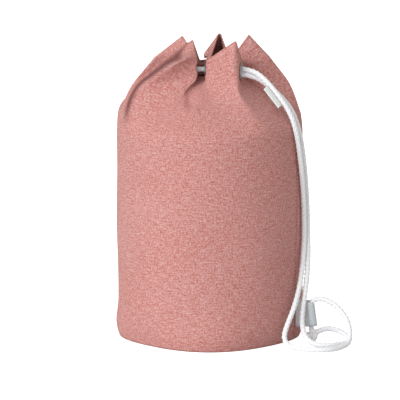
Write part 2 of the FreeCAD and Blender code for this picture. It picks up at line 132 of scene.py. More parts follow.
# The label: the stretch of the route that it hangs beside, the way its flag lies, where the flag starts and
# stops from the strand's middle, its ends' slant as a share of the reach, and how far it waves.
LABEL_RUN = 40
FLAG_WAY = Vector((-0.614, -0.725, -0.327))
FLAG_START = 0.0049
FLAG_STOP = 0.0138
FLAG_SLANT = 0.09375
FLAG_WAVE = 0.0003
FLAG_THICKNESS = 0.0009

# The base: how far inside the wall's foot its panel's rings lie, and its binding tape.
BASE_RINGS = (0.0017, 0.03, 0.06, 0.09)
BASE_TAPE_GAP = 0.0024

# How close together the cord's and the knot's rings of faces are.
CORD_STEP = 0.00105
KNOT_STEP = 0.0008

# The knot: half the width of its lobes, how flat and how deep they are, and how it is turned in degrees.
KNOT_LOBE = 0.00215
KNOT_FLAT = 0.86
KNOT_DEEP = 1.25
KNOT_TILT = (62, 20)

# Lights: name, where it shines from, softness in degrees, strength and colour.
SUNS = [
    ("key", (-2.2, -2.3, 1.55), 45, 2.3, (0.97, 1, 1.02)),
    ("front", (-0.2, -3.0, 0.6), 60, 0.3, (1, 0.98, 0.96)),
]
ROOM_LIGHT = (0.52, 0.49, 0.475, 1)
CAMERA_PLACE = Vector((-0.013, -4.57, 0.9647))
CAMERA_AIM = Vector((-0.013, 0, 0.1837))
CAMERA_LENS = 309.5

# Creases: front or back, a line through (x, z) points in millimetres, how far it stands out (or in), and how
# far it reaches to the left and to the right of the line, as the points go.
CREASES = [
    ("front", [(-25, 350), (-27, 336), (-27, 318)], -4, 8, 5),
    ("front", [(-36, 312), (-25, 315), (-12, 320)], 2.5, 5, 9),
    ("front", [(42, 350), (60, 338), (78, 324), (96, 308)], 3, 5, 9),
    ("front", [(100, 290), (104, 262), (106, 236)], -1.2, 7, 7),
    ("front", [(92, 286), (96, 262)], 1.0, 6, 6),
    ("back", [(-90, 345), (-60, 325), (-30, 300)], 3, 7, 12),
    ("back", [(-20, 345), (-30, 325), (-46, 300)], -3, 7, 9),
    ("back", [(60, 345), (66, 330), (84, 300)], -3, 7, 9),
]

# Painted shade where the cloth presses into itself in folds: each band's angle, how wide it is in degrees,
# the shares of the shoulder and neck where it starts and stops, and how dark its painted shade gets.
PAINTED_FOLD_SHADES = [
    (205, 3.4, 0.2, 1.62, 0.85),
    (249, 7, 0.72, 1.6, 0.8),
    (233, 2.2, 0.6, 1.0, 0.4),
    (-24, 5, 0.8, 1.4, 0.6),
]

# The cord's route in millimetres, from the knot through the tab, up and round the neck, and back to the knot.
ROUTE = [
    (138, -55, 10), (151, -48, 17), (168, -44, 15.5), (182, -49.5, 9.5), (188.5, -64, 4.6), (181, -80, 3.6),
    (162, -93, 3.6), (142, -95, 3.8), (128.5, -83, 9.5), (122.5, -72, 27), (124.5, -65, 50), (129, -55, 78),
    (132.3, -38, 108), (132, -25, 150), (129.5, -31, 205), (125, -45.5, 250), (119, -54.5, 287),
    (107, -57, 320), (72, -49, 352.5), (50, -51.8, 361.3), (29, -49.5, 361.4), (12, -38.5, 361.8),
    (3, -19, 362.5), (10, 2, 363.5), (31, 9, 364), (52, 0, 364.5), (70, 14, 365), (71, 36, 365),
    (52, 50, 365), (22.8, 46, 365), (-1.5, 46, 365), (-26, 52, 365), (-47, 40, 365), (-51.5, 18, 365),
    (-43, -5, 365.5), (-36, -26, 366), (-17, -35, 366), (-3, -32.5, 366), (18, -43, 368.5),
    (49, -52, 368.8), (71, -57.5, 359.5), (106, -67, 315), (115, -63, 286), (120.5, -54, 250),
    (125, -39.5, 205), (127.5, -32, 150), (125.5, -41, 108), (120.2, -62, 76), (112, -77, 50),
    (103.5, -87, 31), (98, -94, 15.5), (103, -105, 5.5), (118, -114, 3.6), (138, -123, 3.6),
    (159, -121, 3.6), (175, -106, 3.6), (186, -90, 6.5), (187.5, -76, 20), (182, -66, 37),
    (168, -59.5, 52), (151, -55.5, 60), (136.6, -53.2, 57), (133.2, -52.4, 42.5), (134.4, -52.9, 26),
    (138, -55, 12),
]


def mm(*point):
    """A point given in millimetres, as a vector in metres."""
    return Vector(point) * MM


def box_centre(node):
    """The middle of a CAD node's box."""
    low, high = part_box(node)
    return (Vector(low) + Vector(high)) / 2


# Settings ------------------------------------------------------------------------------------------

class SackSizes(bpy.types.PropertyGroup):
    """Sizes of the cloth."""
    radius: bpy.props.FloatProperty(
        name="Tube radius", description="Outside radius of the filled tube", default=0.125, unit="LENGTH")
    base_radius: bpy.props.FloatProperty(
        name="Base radius", description="Radius at the floor", default=0.119, unit="LENGTH")
    base_rise: bpy.props.FloatProperty(
        name="Base rise", description="Height over which the wall swells out", default=0.03, unit="LENGTH")
    gather_height: bpy.props.FloatProperty(
        name="Gather height", description="Where the wall starts to draw in", default=0.262, unit="LENGTH")
    cloth_height: bpy.props.FloatProperty(
        name="Cloth height", description="The cloth from base seam to hem, laid flat", default=0.43,
        unit="LENGTH")
    thickness: bpy.props.FloatProperty(
        name="Cloth thickness", description="Thickness of the cloth", default=0.0011, unit="LENGTH")
    around: bpy.props.IntProperty(
        name="Columns", description="Columns of faces round the sack", default=330, min=60)
    lumps: bpy.props.FloatProperty(
        name="Lumps", description="How far the filled wall is from a true tube", default=0.0016,
        unit="LENGTH")


class CordSizes(bpy.types.PropertyGroup):
    """Sizes of the cord and its knot."""
    diameter: bpy.props.FloatProperty(
        name="Cord diameter", description="Diameter of the braided cord", default=0.007, unit="LENGTH")
    length: bpy.props.FloatProperty(
        name="Cord length", description="Real length of the cord", default=1.65, unit="LENGTH")
    plait: bpy.props.FloatProperty(
        name="Plait length", description="Length of one plait along the cord", default=0.0062, unit="LENGTH")
    relief: bpy.props.FloatProperty(
        name="Plait relief", description="How far a plait stands out", default=0.0004, unit="LENGTH")


class TrimSizes(bpy.types.PropertyGroup):
    """Sizes of the stitching, the tapes and the label."""
    binding: bpy.props.FloatProperty(
        name="Binding width", description="Height of the tape round the base seam", default=0.018,
        unit="LENGTH")
    tape: bpy.props.FloatProperty(
        name="Tape thickness", description="Thickness of the tapes", default=0.001, unit="LENGTH")
    label_length: bpy.props.FloatProperty(
        name="Label length", description="Length of the label along the cord", default=0.034, unit="LENGTH")
    stitch: bpy.props.FloatProperty(
        name="Stitch length", description="Length of one stitch", default=0.0034, unit="LENGTH")
    thread: bpy.props.FloatProperty(
        name="Thread", description="Thickness of the thread", default=0.0006, unit="LENGTH")


class SackColours(bpy.types.PropertyGroup):
    """Colours of the materials."""
    warp: bpy.props.FloatVectorProperty(
        name="Coral yarn", description="The dyed yarn", default=(0.44, 0.122, 0.094), subtype="COLOR", size=3)
    weft: bpy.props.FloatVectorProperty(
        name="Pale yarn", description="The undyed yarn", default=(0.665, 0.41, 0.39), subtype="COLOR", size=3)
    # Painted shade: the dark red that the cloth's colour turns towards in its folds, where shade falls.
    fold_shade_colour: bpy.props.FloatVectorProperty(
        name="Painted fold shade", description="The cloth where folds press together", default=(0.10, 0.006, 0.006),
        subtype="COLOR", size=3)
    cord: bpy.props.FloatVectorProperty(
        name="Cord", description="Cotton cord", default=(0.93, 0.955, 0.98), subtype="COLOR", size=3)
    metal: bpy.props.FloatVectorProperty(
        name="Eyelet metal", description="Dulled nickel", default=(0.46, 0.49, 0.48), subtype="COLOR", size=3)
    tape: bpy.props.FloatVectorProperty(
        name="Tab tape", description="Grey tape", default=(0.60, 0.66, 0.68), subtype="COLOR", size=3)
    label: bpy.props.FloatVectorProperty(
        name="Label", description="Pale ribbon", default=(0.80, 0.86, 0.82), subtype="COLOR", size=3)


# Shader maths --------------------------------------------------------------------------------------

class Sock:
    """A shader socket with arithmetic, so that a pattern reads as a formula."""

    def __init__(self, tree, socket):
        self.tree = tree
        self.socket = socket

    def _math(self, operation, *values):
        node = self.tree.nodes.new("ShaderNodeMath")
        node.operation = operation
        for slot, value in zip(node.inputs, values):
            if isinstance(value, Sock):
                self.tree.links.new(value.socket, slot)
            else:
                slot.default_value = value
        return Sock(self.tree, node.outputs[0])

    def __add__(self, other):
        return self._math("ADD", self, other)

    def __radd__(self, other):
        return self._math("ADD", other, self)

    def __mul__(self, other):
        return self._math("MULTIPLY", self, other)

    def __rmul__(self, other):
        return self._math("MULTIPLY", other, self)

    def __sub__(self, other):
        return self._math("SUBTRACT", self, other)

    def __rsub__(self, other):
        return self._math("SUBTRACT", other, self)

    def sine(self):
        return self._math("SINE", self)

    def clamp(self):
        """The value held between 0 and 1."""
        made = self._math("ADD", self, 0.0)
        made.socket.node.use_clamp = True
        return made


class Finish:
    """One material being made: its nodes, and the shader they feed."""

    def __init__(self, name, colour, roughness, **settings):
        self.material = bpy.data.materials.new(name)
        self.material.use_nodes = True
        self.material.diffuse_color = (*colour, 1)
        self.tree = self.material.node_tree
        self.shader = self.tree.nodes["Principled BSDF"]
        self.shader.inputs["Base Color"].default_value = (*colour, 1)
        self.shader.inputs["Roughness"].default_value = roughness
        for key, value in settings.items():
            self.shader.inputs[key.replace("_", " ")].default_value = value

    def node(self, kind, result, values, **settings):
        """Any node: its settings, the values or sockets of its inputs, and the output that is wanted."""
        made = self.tree.nodes.new(kind)
        for key, value in settings.items():
            setattr(made, key, value)
        for key, value in values.items():
            if isinstance(value, Sock):
                self.tree.links.new(value.socket, made.inputs[key])
            else:
                made.inputs[key].default_value = value
        return Sock(self.tree, made.outputs[result])

    def uv(self, name):
        """A UV map's two coordinates."""
        both = self.node("ShaderNodeUVMap", "UV", {}, uv_map=name)
        return (self.node("ShaderNodeSeparateXYZ", "X", {"Vector": both}),
                self.node("ShaderNodeSeparateXYZ", "Y", {"Vector": both}))

    def place(self):
        """Object coordinates, as a vector."""
        return self.node("ShaderNodeTexCoord", "Object", {})

    def vector(self, x, y, z=0.0):
        """Three numbers or sockets as one vector."""
        return self.node("ShaderNodeCombineXYZ", "Vector", {"X": x, "Y": y, "Z": z})

    def cloud(self, vector, scale, detail=2.0, roughness=0.5):
        """Noise around 0.5."""
        return self.node("ShaderNodeTexNoise", "Fac",
                         {"Vector": vector, "Scale": scale, "Detail": detail, "Roughness": roughness})

    def mix(self, share, first, second):
        """Mix two colours, each a tuple or a socket."""
        ends = [value if isinstance(value, Sock) else (*value, 1) for value in (first, second)]
        return self.node("ShaderNodeMix", 2, {0: share, 6: ends[0], 7: ends[1]}, data_type="RGBA")

    def feed(self, **sockets):
        """Link sockets to the shader's inputs."""
        for key, value in sockets.items():
            self.tree.links.new(value.socket, self.shader.inputs[key.replace("_", " ")])

    def bump(self, height, distance, strength=1.0):
        """Relief from a height pattern, in metres."""
        self.feed(Normal=self.node("ShaderNodeBump", "Normal",
                                   {"Height": height, "Distance": distance, "Strength": strength}))


def chambray(name):
    """Coral warp and pale weft in plain weave, with slubs that run along the yarns, and painted shade
    darkening its folds.
    """
    tones = bpy.context.scene.sack_colours
    coral = tuple(tones.warp)
    pale = tuple(tones.weft)
    made = Finish(name, tuple((a + b) / 2 for a, b in zip(coral, pale)), 0.9, Sheen_Weight=0.08,
                  Sheen_Roughness=0.5, Specular_IOR_Level=0.35)
    u, v = made.uv("cloth")
    yarn = 0.00072
    over = ((u * (math.pi / yarn)).sine() * (v * (math.pi / yarn)).sine()) * 0.5 + 0.5
    warp_slub = made.cloud(made.vector(u * 700.0, v * 120.0), 1.0, 2.0)
    weft_slub = made.cloud(made.vector(u * 90.0, v * 700.0, 7.0), 1.0, 2.0)
    fleck = made.cloud(made.vector(u * 430.0, v * 420.0, 3.0), 1.0, 4.0, 0.8)
    broad = made.cloud(made.vector(u * 9.0, v * 14.0, 11.0), 1.0, 2.0)
    share = over * 0.30 + weft_slub * 1.3 + fleck * 3.6 + broad * 0.3 + warp_slub * 0.9 - 2.75
    # Painted shade: an attribute darkens the cloth's colour towards a deep red in its folds.
    painted_fold_shade = made.node("ShaderNodeAttribute", "Fac", {}, attribute_name="painted_fold_shade")
    cloth = made.mix(share.clamp(), coral, pale)
    made.feed(Base_Color=made.mix(painted_fold_shade.clamp(), cloth, tuple(tones.fold_shade_colour)), Roughness=over * 0.12 + 0.82)
    made.bump(over * 0.4 + weft_slub * 0.9 + warp_slub * 0.7 + fleck * 0.8, 0.0005, 0.6)
    return made.material


def cotton(name):
    """Braided cotton: fine fibres along the plaits, and painted shade that greys the furrows between them."""
    tone = tuple(bpy.context.scene.sack_colours.cord)
    made = Finish(name, tone, 0.85, Sheen_Weight=0.2, Specular_IOR_Level=0.2)
    u, v = made.uv("cord")
    fibre = made.cloud(made.vector(u * 90.0, v * 2600.0), 1.0, 3.0)
    turn = 2 * math.pi / bpy.context.scene.cord_sizes.plait
    furrow = ((u * (8 * math.pi)).sine() * (v * turn).sine()) * 0.5 + 0.5
    # Painted shade: the colour greys in the braid's sunken furrows, mixed with the fibres' own tone.
    fibre_tone_and_furrow_shade = (fibre * 0.35 + furrow * 0.65).clamp()
    made.feed(Base_Color=made.mix(fibre_tone_and_furrow_shade, tuple(c * 0.84 for c in tone), tone))
    made.bump(fibre * 0.4 + furrow, 0.0004, 0.6)
    return made.material


def nickel(name):
    """Dulled nickel, with faint rubbed spots."""
    tone = tuple(bpy.context.scene.sack_colours.metal)
    made = Finish(name, tone, 0.38, Metallic=1.0)
    wear = made.cloud(made.place(), 420.0, 4.0)
    made.feed(Base_Color=made.mix(wear, tuple(c * 0.7 for c in tone), tuple(min(1, c * 1.15) for c in tone)),
              Roughness=wear * 0.25 + 0.28)
    made.bump(wear, 0.0001, 0.2)
    return made.material


def woven(name, tone, scale=900.0):
    """A narrow woven tape, on object coordinates."""
    made = Finish(name, tone, 0.7, Sheen_Weight=0.2, Specular_IOR_Level=0.3)
    fibre = made.cloud(made.place(), scale, 3.0)
    made.feed(Base_Color=made.mix(fibre, tuple(c * 0.78 for c in tone), tuple(min(1, c * 1.2) for c in tone)),
              Roughness=fibre * 0.2 + 0.55)
    made.bump(fibre, 0.0003, 0.5)
    return made.material


def plain(name, colour, roughness, glow):
    """A backdrop finish, which glows to the camera alone so that it stays pale and lights nothing."""
    made = Finish(name, colour, roughness, Specular_IOR_Level=0.0, Emission_Strength=glow)
    seen = made.node("ShaderNodeLightPath", "Is Camera Ray", {})
    made.feed(Emission_Color=made.mix(seen, (0, 0, 0), (1, 1, 1)))
    return made.material


# Mesh helpers --------------------------------------------------------------------------------------

def piece_from(bm, name, material, body):
    """Turn a bmesh into a smooth-shaded object with one material, riding on a body."""
    mesh = bpy.data.meshes.new(name)
    bm.to_mesh(mesh)
    bm.free()
    mesh.shade_smooth()
    mesh.materials.append(material)
    piece = bpy.data.objects.new(name, mesh)
    bpy.context.scene.collection.objects.link(piece)
    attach(piece, body)
    return piece


def loft(bm, rings, wrap=True):
    """Join rings of points: the first ring's edges are extruded to each of the next."""
    count = len(rings[0])
    row = [bm.verts.new(point) for point in rings[0]]
    sides = count if wrap else count - 1
    edges = [bm.edges.new((row[index], row[(index + 1) % count])) for index in range(sides)]
    rows = [row]
    for ring in rings[1:]:
        grown = bmesh.ops.extrude_edge_only(bm, edges=edges)["geom"]
        fresh = {item for item in grown if isinstance(item, bmesh.types.BMVert)}
        above = [next(e.other_vert(vert) for e in vert.link_edges if e.other_vert(vert) in fresh)
                 for vert in row]
        for vert, point in zip(above, ring):
            vert.co = point
        edges = [bm.edges.get((above[index], above[(index + 1) % count])) for index in range(sides)]
        row = above
        rows.append(row)
    return rows


def paint_uv(bm, name, coordinate, period=None):
    """Fill a UV map from each vertex's coordinate; a seam that wraps is carried on past its period."""
    layer = bm.loops.layers.uv.new(name)
    for face in bm.faces:
        values = [coordinate[loop.vert] for loop in face.loops]
        widest = max(u for u, v in values)
        for loop, (u, v) in zip(face.loops, values):
            if period and widest - u > period / 2:
                u += period
            loop[layer].uv = (u, v)


# Cloth shape ---------------------------------------------------------------------------------------

SHOULDER_ROWS = 60
NECK_ROWS = 32

# How softly the folds are rounded, in columns: what the tube's top has more than the neck, and the neck.
SHOULDER_BLUR = 6.0
NECK_BLUR = 1.1

# How straight a fold arrives at the eyelets: the length of its cubic's last handle.
ARRIVE = 0.085


def smoothstep(value):
    """0 to 1 with soft ends."""
    value = np.clip(value, 0, 1)
    return value * value * (3 - 2 * value)


def hermite(start, leave, stop, arrive, shares):
    """Points of a cubic between two places, with its direction at both ends."""
    t = shares[:, None]
    return ((2 * t ** 3 - 3 * t ** 2 + 1) * start + (t ** 3 - 2 * t ** 2 + t) * leave
            + (3 * t ** 2 - 2 * t ** 3) * stop + (t ** 3 - t ** 2) * arrive)


def fold_profile(fold, shoulder_rows, neck_rows):
    """One fold's line in metres: over the shoulder from the tube's top, past the eyelets and to the hem."""
    sizes = bpy.context.scene.sack_sizes
    direction, turn_height, lean, places = fold[1:]
    angle = math.radians(direction)
    outward = np.array((math.cos(angle), math.sin(angle), 0))
    top = outward * sizes.radius + np.array((0, 0, sizes.gather_height))
    neck = np.array(places) * MM
    way = neck[1] - neck[0]
    inward = (neck[0] - top) * (1, 1, 0)
    arrive = way / np.linalg.norm(way) + inward / np.linalg.norm(inward) * lean
    arrive *= ARRIVE / np.linalg.norm(arrive)
    turn = top * (1, 1, 0) + np.array((0, 0, turn_height * MM))
    leave = np.array((0, 0, (neck[0] - turn)[2] * (1 - 0.5 * min(lean, 1))))
    shoulder = np.concatenate((top[None], hermite(turn, leave, neck[0], arrive, np.linspace(0, 1, 60))))
    return np.concatenate((spread(shoulder, shoulder_rows + 1)[1:], spread(neck, neck_rows + 1)[1:]))


def spread(points, count):
    """A line resampled to a number of evenly spaced points."""
    travelled = np.concatenate(((0,), np.cumsum(np.linalg.norm(np.diff(points, axis=0), axis=1))))
    places = np.linspace(0, travelled[-1], count)
    return np.stack([np.interp(places, travelled, points[:, axis]) for axis in range(3)], axis=1)


def wall(angles, heights):
    """The filled tube: a soft turn at the base, then a nearly straight wall with slow lumps."""
    sizes = bpy.context.scene.sack_sizes
    swell = smoothstep((heights / sizes.base_rise) ** 0.5)
    radius = sizes.base_radius + (sizes.radius - sizes.base_radius) * swell
    a, h = np.meshgrid(angles, heights)
    fade = smoothstep(h / 0.05) * smoothstep((sizes.gather_height + 0.03 - h) / 0.08)
    lumps = sum(np.sin(waves * a + climb * h + start) * share for waves, climb, start, share in LUMPS)
    corners = np.cos(4 * (a + math.pi / 2)) * smoothstep(1 - h / FOOT_CORNER_HEIGHT) * FOOT_CORNER
    foot = corners - smoothstep(1 - h / FOOT_DRAW_HEIGHT) * FOOT_DRAW
    radius = radius[:, None] + sizes.lumps * lumps * fade + foot
    return np.stack((np.cos(a) * radius, np.sin(a) * radius, h), axis=2)


def blur_round(row, width):
    """Smooth a closed row of points along itself; width is in columns."""
    if width < 0.3:
        return row
    count = len(row)
    reach = np.minimum(np.arange(count), count - np.arange(count))
    weights = np.exp(-0.5 * (reach / width) ** 2)
    weights /= weights.sum()
    spectrum = np.fft.fft(weights)[:, None]
    return np.real(np.fft.ifft(np.fft.fft(row, axis=0) * spectrum, axis=0))


def cloth_rows():
    """The cloth as rows of points from the base to the hem, before its creases."""
    sizes = bpy.context.scene.sack_sizes
    count = sizes.around
    angles = math.radians(FOLDS[0][1]) + np.arange(count) * 2 * math.pi / count
    heights = np.concatenate((FOOT_ROWS, np.linspace(0.014, sizes.gather_height, 42)))
    tube = wall(angles, heights)
    directions = np.radians([fold[1] for fold in FOLDS] + [FOLDS[0][1] + 360])
    profiles = [fold_profile(fold, SHOULDER_ROWS, NECK_ROWS) for fold in FOLDS]
    profiles.append(profiles[0])

    def across(values):
        """Values known at the folds, spread over all the columns."""
        return np.stack([np.interp(angles, directions, values[:, axis]) for axis in range(3)], axis=1)

    stack = np.array(profiles)
    round_top = tube[-1]
    corner_tops = np.stack((np.cos(directions), np.sin(directions), directions * 0), axis=1) * sizes.radius
    corner_tops[:, 2] = sizes.gather_height
    bulge = round_top - across(corner_tops)
    rows = []
    for index in range(stack.shape[1]):
        share = min(1.0, (index + 1) / SHOULDER_ROWS)
        row = across(stack[:, index]) + bulge * (1 - smoothstep(share))
        width = SHOULDER_BLUR * (1 - share) + NECK_BLUR
        rows.append(round_top + blur_round(row - round_top, width))
    return np.concatenate((tube, np.array(rows))), angles


def crease_shift(points):
    """How far every point moves along its normal for the creases."""
    shift = np.zeros(len(points))
    for side, line, depth, left, right in CREASES:
        facing = points[:, 1] < 0.01 if side == "front" else points[:, 1] > -0.01
        line = np.array(line) * MM
        pieces = np.diff(line, axis=0)
        lengths = np.linalg.norm(pieces, axis=1)
        travelled = np.concatenate(((0,), np.cumsum(lengths)))
        spot = points[:, (0, 2)]
        best = np.full(len(points), 1e9)
        along = np.zeros(len(points))
        leftward = np.zeros(len(points))
        for index, piece in enumerate(pieces):
            offset = spot - line[index]
            share = np.clip(offset @ piece / lengths[index] ** 2, 0, 1)
            gap = offset - share[:, None] * piece
            distance = np.linalg.norm(gap, axis=1)
            closer = distance < best
            best = np.where(closer, distance, best)
            along = np.where(closer, travelled[index] + share * lengths[index], along)
            leftward = np.where(closer, piece[0] * gap[:, 1] - piece[1] * gap[:, 0], leftward)
        reach = np.where(leftward > 0, left, right) * MM
        ends = smoothstep(along / (0.3 * travelled[-1])) * smoothstep((travelled[-1] - along)
                                                                      / (0.25 * travelled[-1]))
        shift += facing * depth * MM * np.exp(-(best / reach) ** 2) * (0.15 + 0.85 * ends)
    return shift


def seat_eyelets(points):
    """Lay the cloth flat under every eyelet."""
    for number, facing in enumerate(FACINGS, 1):
        centre = np.array(box_centre("eyelet_%d" % number))
        normal = np.array((*facing, 0)) / math.hypot(*facing)
        offset = points - centre
        depth = offset @ normal
        across = np.linalg.norm(offset - depth[:, None] * normal, axis=1)
        hold = smoothstep((SEAT_REACH - across) / SEAT_SOFTNESS) * (np.abs(depth) < SEAT_DEPTH)
        points -= (hold * (depth + SEAT_GAP))[:, None] * normal
    return points


def eyelet_holes(bm):
    """The faces that lie inside an eyelet's barrel."""
    gone = []
    for number, facing in enumerate(FACINGS, 1):
        centre = box_centre("eyelet_%d" % number)
        normal = Vector((*facing, 0)).normalized()
        for face in bm.faces:
            offset = face.calc_center_median() - centre
            depth = offset.dot(normal)
            if abs(depth) < HOLE_DEPTH and (offset - normal * depth).length < HOLE_RADIUS:
                gone.append(face)
    return list(set(gone))


def stitching(surface):
    """Stitch rows along the hem and down the side seam, each stitch a short bar of thread."""
    sizes = bpy.context.scene.trim_sizes
    count = surface.shape[1]
    seam = int(round((SEAM_ANGLE - FOLDS[0][1]) / 360 * count)) % count
    paths = [np.concatenate((surface[-row], surface[-row][:1])) for row in HEM_ROWS]
    paths += [surface[3:-2, (seam + side) % count] for side in (0, 1)]
    bm = bmesh.new()
    for path in paths:
        points = even(path, sizes.stitch * STITCH_SHOWS)
        for start, stop in zip(points[:-1:2], points[1::2]):
            middle = Vector((start + stop) / 2)
            way = Vector(stop - start)
            outward = Vector((middle.x, middle.y, 0))
            outward = (outward - way * outward.dot(way) / way.length_squared).normalized()
            turn = way.to_track_quat("X", "Z").to_matrix().to_4x4()
            size = Matrix.Diagonal((way.length, sizes.thread, sizes.thread, 1))
            place = Matrix.Translation(middle + outward * STITCH_LIFT)
            bmesh.ops.create_cube(bm, size=1, matrix=place @ turn @ size)
    thread = woven("sewing thread", tuple(bpy.context.scene.sack_colours.warp))
    return piece_from(bm, "stitches", thread, "root")


def paint_fold_shade(bm, grid, angles):
    """Fill the painted-shade attribute: how deep every point lies between folds that press together, which
    darkens its colour.
    """
    layer = bm.verts.layers.float["painted_fold_shade"]
    degrees = np.degrees(angles)
    first = len(grid) - SHOULDER_ROWS - NECK_ROWS
    for row_index, row in enumerate(grid):
        share = (row_index - first) / SHOULDER_ROWS
        depth = np.zeros(len(row))
        for angle, width, start, stop, strength in PAINTED_FOLD_SHADES:
            away = (degrees - angle + 180) % 360 - 180
            rise = smoothstep((share - start) / 0.4) * smoothstep((stop - share) / 0.3)
            depth += strength * rise * np.exp(-(away / width) ** 2)
        for vert, value in zip(row, depth):
            vert[layer] = float(min(value, 0.9))


# Operators -----------------------------------------------------------------------------------------

class SACK_OT_cloth(bpy.types.Operator):
    """Build the chambray tube: filled below, gathered in folds at the eyelets"""
    bl_idname = "sack.cloth"
    bl_label = "Cloth"

    def execute(self, context):
        sizes = context.scene.sack_sizes
        rows, angles = cloth_rows()
        bm = bmesh.new()
        # The attribute that carries painted shade in the cloth's folds.
        bm.verts.layers.float.new("painted_fold_shade")
        grid = loft(bm, [[Vector(point) for point in row] for row in rows])
        bm.normal_update()
        verts = [vert for row in grid for vert in row]
        points = np.array([vert.co for vert in verts])
        normals = np.array([vert.normal for vert in verts])
        if np.mean((normals[:, :2] * points[:, :2]).sum(axis=1)) < 0:
            bmesh.ops.reverse_faces(bm, faces=bm.faces)
            normals = -normals
        points = points + normals * crease_shift(points)[:, None]
        points = seat_eyelets(points)
        for vert, point in zip(verts, points):
            vert.co = point
        girth = 2 * math.pi * sizes.radius
        climbed = np.cumsum(np.linalg.norm(np.diff(rows, axis=0), axis=2), axis=0)
        travelled = np.concatenate((np.zeros((1, rows.shape[1])), climbed))
        coordinate = {}
        for row, ways in zip(grid, travelled):
            for column, (vert, way) in enumerate(zip(row, ways)):
                coordinate[vert] = (girth * column / len(row), float(way))
        paint_uv(bm, "cloth", coordinate, girth)
        # Painted shade: darken the cloth's colour where its folds press together.
        paint_fold_shade(bm, grid, angles)
        bmesh.ops.delete(bm, geom=eyelet_holes(bm), context="FACES")
        sack = piece_from(bm, "sack_cloth", chambray("sack cloth"), "root")
        thick = sack.modifiers.new("thickness", "SOLIDIFY")
        thick.thickness = sizes.thickness
        thick.offset = -1
        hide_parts("body_panel")
        stitches = stitching(points.reshape(rows.shape))
        return {"FINISHED"}


def cord_line():
    """The cord's own curve through the route, and close points along it."""
    curve = bpy.data.curves.new("cord line", "CURVE")
    curve.dimensions = "3D"
    curve.resolution_u = 26
    spline = curve.splines.new("NURBS")
    spline.points.add(len(ROUTE) - 1)
    for point, place in zip(spline.points, ROUTE):
        point.co = (*mm(*place), 1)
    spline.order_u = 3
    spline.use_endpoint_u = True
    guide = bpy.data.objects.new("cord line", curve)
    mesh = bpy.data.meshes.new_from_object(guide)
    points = np.array([vert.co for vert in mesh.vertices])
    bpy.data.meshes.remove(mesh)
    bpy.data.objects.remove(guide)
    bpy.data.curves.remove(curve)
    return even(points, CORD_STEP)


def even(points, step):
    """The same line with points about a step apart."""
    length = np.linalg.norm(np.diff(points, axis=0), axis=1).sum()
    return spread(points, int(length / step) + 1)


def braided(bm, line, sides, radius):
    """A round braid along a line: the tube's skin swells and sinks with the plaits.  Fills the cord's UV."""
    sizes = bpy.context.scene.cord_sizes
    tangents = np.gradient(line, axis=0)
    tangents /= np.linalg.norm(tangents, axis=1)[:, None]
    side = Vector(tangents[0]).orthogonal().normalized()
    rings = []
    coordinate_rows = []
    travelled = np.concatenate(((0,), np.cumsum(np.linalg.norm(np.diff(line, axis=0), axis=1))))
    for place, tangent, way in zip(line, tangents, travelled):
        tangent = Vector(tangent)
        side = (side - tangent * side.dot(tangent)).normalized()
        other = tangent.cross(side)
        ring = []
        for index in range(sides):
            turn = 2 * math.pi * index / sides
            ripple = math.sin(4 * turn) * math.sin(2 * math.pi * way / sizes.plait)
            swell = radius + sizes.relief * (ripple - 0.5)
            ring.append(Vector(place) + (side * math.cos(turn) + other * math.sin(turn)) * swell)
        rings.append(ring)
        coordinate_rows.append([(index / sides, way) for index in range(sides)])
    rows = loft(bm, rings)
    coordinate = {}
    for row, values in zip(rows, coordinate_rows):
        coordinate.update(zip(row, values))
    for row in (rows[0], rows[-1]):
        bmesh.ops.contextual_create(bm, geom=row)
    paint_uv(bm, "cord", coordinate, 1.0)
    bmesh.ops.recalc_face_normals(bm, faces=bm.faces)


class SACK_OT_cord(bpy.types.Operator):
    """Lay the braided cord through the eyelets, down to the tab and the floor"""
    bl_idname = "sack.cord"
    bl_label = "Cord"

    def execute(self, context):
        sizes = context.scene.cord_sizes
        line = cord_line()
        bm = bmesh.new()
        braided(bm, line, 24, sizes.diameter / 2)
        cord = piece_from(bm, "cord", cotton("braided cotton"), "root")
        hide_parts("draw_cord")
        knot = knot_piece()
        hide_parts("end_knot")
        return {"FINISHED"}


def knot_piece():
    """An overhand knot: a small trefoil of the same braid, drawn tight round both ends."""
    sizes = bpy.context.scene.cord_sizes
    centre = box_centre("end_knot")
    turns = np.linspace(0, 2 * math.pi, 150)
    lobes = np.stack(((np.sin(turns) + 2 * np.sin(2 * turns)) * KNOT_LOBE * KNOT_FLAT,
                      (np.cos(turns) - 2 * np.cos(2 * turns)) * KNOT_LOBE * KNOT_FLAT,
                      -np.sin(3 * turns) * KNOT_LOBE * KNOT_DEEP), axis=1)
    over, about = KNOT_TILT
    tilt = Matrix.Rotation(math.radians(over), 3, "X") @ Matrix.Rotation(math.radians(about), 3, "Z")
    line = np.array([tilt @ Vector(point) + centre for point in lobes])
    bm = bmesh.new()
    braided(bm, even(line, KNOT_STEP), 20, sizes.diameter / 2 - sizes.relief)
    return piece_from(bm, "knot", bpy.data.materials["braided cotton"], "root")


